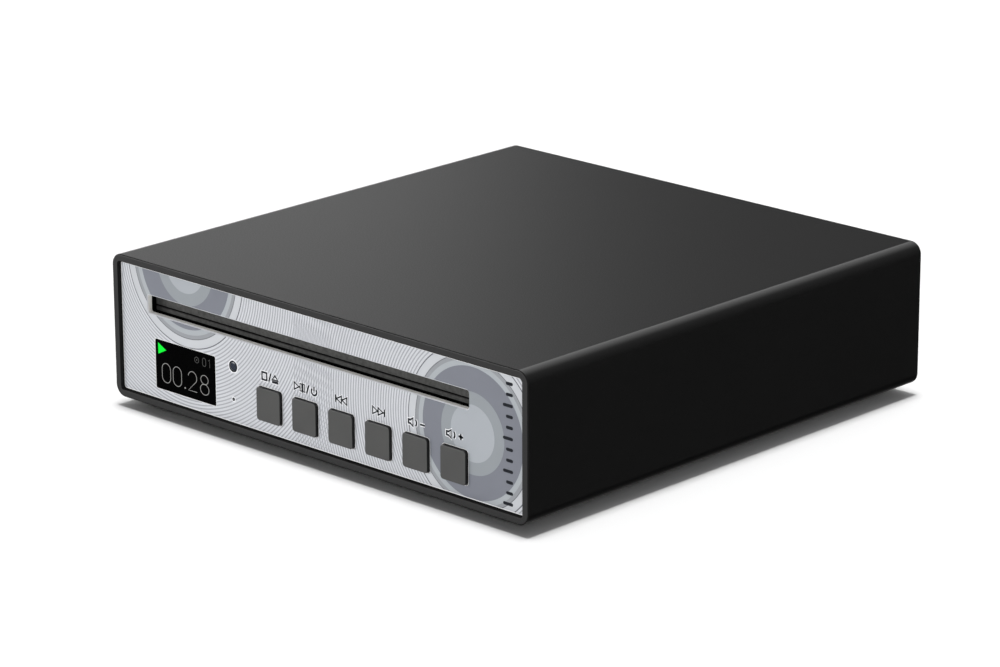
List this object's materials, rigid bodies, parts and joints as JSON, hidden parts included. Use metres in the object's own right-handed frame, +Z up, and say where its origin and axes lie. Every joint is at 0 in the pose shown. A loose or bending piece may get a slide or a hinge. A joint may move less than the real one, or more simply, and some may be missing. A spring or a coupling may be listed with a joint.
{
  "type": "cd player",
  "caption": "Flat rectangular desktop CD player with a slot-loading disc drive, display window, square push buttons and rear audio sockets.",
  "frame": {"origin": "middle of the whole object's footprint, on the surface its feet stand on", "axes": "+Z up, front panel faces -Y, +X to the right seen from the front; +Y is the longest extent because the audio sockets stand out of the rear"},
  "size_m": [0.162, 0.1706, 0.0455],
  "materials": {
    "black_anodised": "matte bead-blasted black anodise",
    "silver_front": "satin silver with grey printed rings and fine lines",
    "black_plastic": "matte moulded",
    "felt": "dense dark felt",
    "dark_glass": "gloss black lens",
    "button_plastic": "satin dark grey",
    "circuit_board": "green solder mask",
    "zinc_sheet": "zinc-plated sheet",
    "steel": "bright steel",
    "brass": "gold-plated",
    "rubber": "matte",
    "gear_plastic": "natural acetal",
    "lens_glass": "coated lens"
  },
  "bodies": {
    "enclosure": {"enclosure_sleeve": "black_anodised", "rear_panel": "black_anodised", "front_panel": "silver_front", "slot_frame": "black_plastic", "display_module": "black_plastic", "ir_receiver": "black_plastic", "optical_jack": "black_plastic", "headphone_jack": "black_plastic", "switch_stop_eject": "black_plastic", "switch_play_power": "black_plastic", "switch_previous": "black_plastic", "switch_next": "black_plastic", "switch_volume_down": "black_plastic", "switch_volume_up": "black_plastic", "upper_dust_felt": "felt", "lower_dust_felt": "felt", "display_window": "dark_glass", "ir_window": "dark_glass", "button_board": "circuit_board", "main_board": "circuit_board", "base_tray": "zinc_sheet", "drive_chassis": "zinc_sheet", "drive_cover": "zinc_sheet", "usb_c_jack": "steel", "clamp_pin": "steel", "loading_motor": "steel", "rear_screw_low_left": "steel", "rear_screw_low_right": "steel", "rear_screw_high_left": "steel", "rear_screw_high_right": "steel", "coaxial_jack": "brass", "rca_left_jack": "brass", "rca_right_jack": "brass", "foot_front_left": "rubber", "foot_front_right": "rubber", "foot_rear_left": "rubber", "foot_rear_right": "rubber"},
    "button_stop_eject": {"button_stop_eject": "button_plastic"},
    "button_play_power": {"button_play_power": "button_plastic"},
    "button_previous": {"button_previous": "button_plastic"},
    "button_next": {"button_next": "button_plastic"},
    "button_volume_down": {"button_volume_down": "button_plastic"},
    "button_volume_up": {"button_volume_up": "button_plastic"},
    "feed_roller": {"feed_roller": "rubber", "roller_shaft": "steel", "roller_gear": "gear_plastic"},
    "loading_gear": {"loading_gear": "gear_plastic"},
    "motor_pinion": {"motor_pinion": "brass"},
    "cam_slider": {"cam_slider": "zinc_sheet"},
    "traverse": {"traverse_plate": "zinc_sheet", "spindle_motor": "steel", "guide_rod_left": "steel", "guide_rod_right": "steel", "sled_motor": "steel"},
    "turntable": {"turntable": "black_plastic"},
    "pickup": {"pickup_sled": "black_plastic", "objective_lens": "lens_glass"},
    "lead_screw": {"lead_screw": "steel"},
    "clamp_arm": {"clamp_arm": "zinc_sheet"},
    "clamp_puck": {"clamp_puck": "black_plastic"}
  },
  "joints": [
    {"name": "press_stop_eject", "type": "slide", "parent": "enclosure", "child": "button_stop_eject", "axis": [0, 1, 0], "range_m": [0, 0.0005], "stiffness_N_per_m": 500},
    {"name": "press_play_power", "type": "slide", "parent": "enclosure", "child": "button_play_power", "axis": [0, 1, 0], "range_m": [0, 0.0005], "stiffness_N_per_m": 500},
    {"name": "press_previous", "type": "slide", "parent": "enclosure", "child": "button_previous", "axis": [0, 1, 0], "range_m": [0, 0.0005], "stiffness_N_per_m": 500},
    {"name": "press_next", "type": "slide", "parent": "enclosure", "child": "button_next", "axis": [0, 1, 0], "range_m": [0, 0.0005], "stiffness_N_per_m": 500},
    {"name": "press_volume_down", "type": "slide", "parent": "enclosure", "child": "button_volume_down", "axis": [0, 1, 0], "range_m": [0, 0.0005], "stiffness_N_per_m": 500},
    {"name": "press_volume_up", "type": "slide", "parent": "enclosure", "child": "button_volume_up", "axis": [0, 1, 0], "range_m": [0, 0.0005], "stiffness_N_per_m": 500},
    {"name": "roller_spin", "type": "hinge", "parent": "enclosure", "child": "feed_roller", "pos_m": [-0.00455, -0.0673, 0.0264], "axis": [1, 0, 0], "continuous": true},
    {"name": "loading_gear_spin", "type": "hinge", "parent": "enclosure", "child": "loading_gear", "pos_m": [0.0657, -0.0497, 0.0264], "axis": [1, 0, 0], "continuous": true},
    {"name": "pinion_spin", "type": "hinge", "parent": "enclosure", "child": "motor_pinion", "pos_m": [0.0657, -0.0345, 0.0264], "axis": [1, 0, 0], "continuous": true},
    {"name": "traverse_lift", "type": "slide", "parent": "enclosure", "child": "traverse", "axis": [0, 0, 1], "range_m": [0, 0.0026]},
    {"name": "cam_slide", "type": "slide", "parent": "enclosure", "child": "cam_slider", "axis": [0, 1, 0], "range_m": [-0.0121, 0]},
    {"name": "clamp_swing", "type": "hinge", "parent": "enclosure", "child": "clamp_arm", "pos_m": [-0.00455, 0.0527, 0.0406], "axis": [1, 0, 0], "range_deg": [0, 2.35]},
    {"name": "puck_spin", "type": "hinge", "parent": "clamp_arm", "child": "clamp_puck", "pos_m": [-0.00455, -0.0093, 0.0406], "axis": [0, 0, 1], "continuous": true},
    {"name": "turntable_spin", "type": "hinge", "parent": "traverse", "child": "turntable", "pos_m": [-0.00455, -0.0093, 0.025], "axis": [0, 0, 1], "continuous": true},
    {"name": "pickup_slide", "type": "slide", "parent": "traverse", "child": "pickup", "axis": [0, 1, 0], "range_m": [0, 0.033]},
    {"name": "lead_screw_turn", "type": "hinge", "parent": "traverse", "child": "lead_screw", "pos_m": [0.02345, 0.0297, 0.023], "axis": [0, 1, 0], "range_deg": [0, 3970]}
  ],
  "couplings": [
    {"joint": "loading_gear_spin", "follows": "roller_spin", "ratio": -0.57143},
    {"joint": "pinion_spin", "follows": "roller_spin", "ratio": 1.6},
    {"joint": "cam_slide", "follows": "traverse_lift", "ratio": -4.6154},
    {"joint": "clamp_swing", "follows": "traverse_lift", "rad_per_m": 15.5},
    {"joint": "lead_screw_turn", "follows": "pickup_slide", "rad_per_m": 2094.4}
  ]
}
